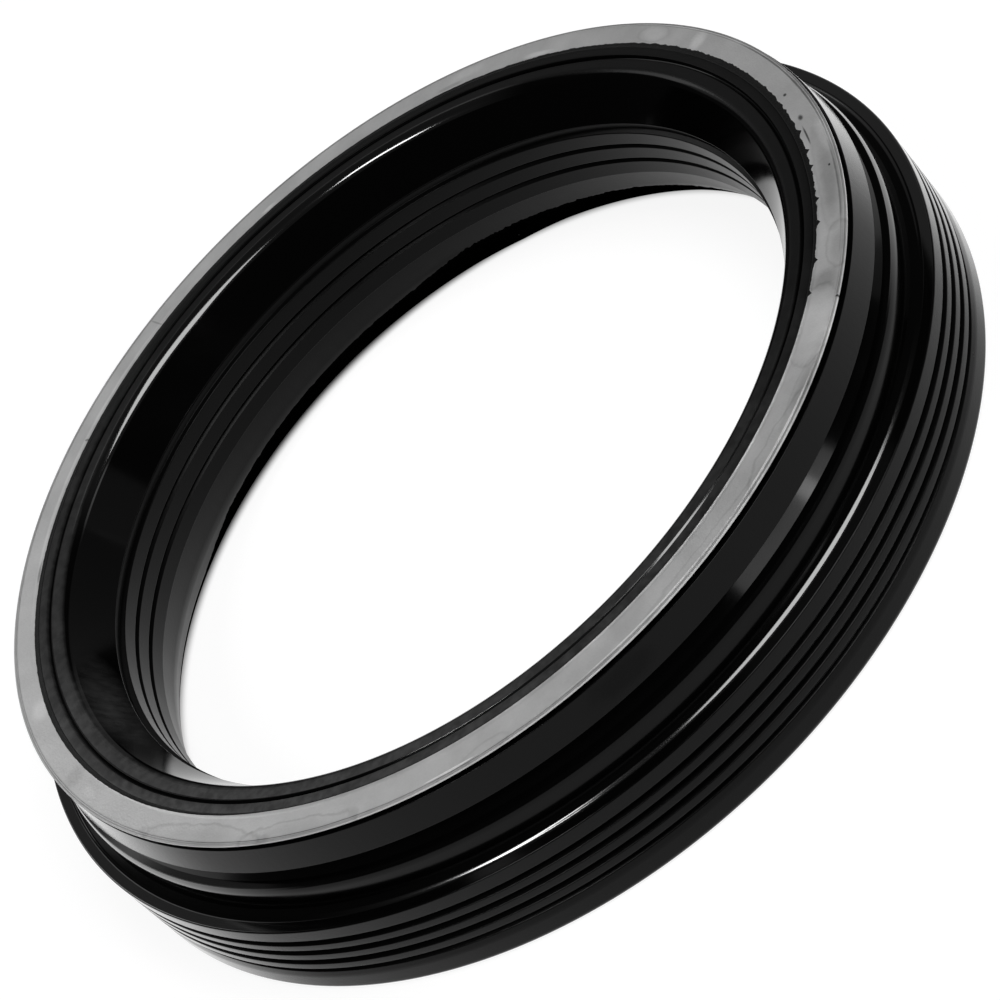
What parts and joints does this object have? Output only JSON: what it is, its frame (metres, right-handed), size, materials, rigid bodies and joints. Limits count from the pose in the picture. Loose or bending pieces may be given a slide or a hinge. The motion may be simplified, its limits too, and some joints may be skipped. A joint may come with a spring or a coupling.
{
  "type": "radial shaft seal",
  "caption": "Cassette shaft seal: ribbed rubber outer ring with a stepped neck, turning round a rubber-lined steel sleeve with a flat flange.",
  "frame": {"origin": "centre of the oil-side end plane, which the seal rests on, on the seal's axis", "axes": "+Z along the seal's axis, from the oil side up to the air side with the metal flange and the lead-in mouth; X and Y across it"},
  "size_m": [0.1604, 0.1604, 0.03],
  "materials": {
    "rubber": "satin moulded black rubber",
    "sleeve_steel": "matt pressed steel sheet, faintly stained",
    "case_steel": "pressed steel sheet, dull",
    "spring_steel": "bright spring wire"
  },
  "bodies": {
    "outer_member": {"jacket": "rubber", "case": "case_steel", "garter_spring": "spring_steel"},
    "inner_member": {"sleeve": "sleeve_steel", "lining": "rubber", "retainer": "case_steel"}
  },
  "joints": [
    {"name": "member_spin", "type": "hinge", "parent": "outer_member", "child": "inner_member", "pos_m": [0, 0, 0], "axis": [0, 0, 1], "continuous": true}
  ]
}
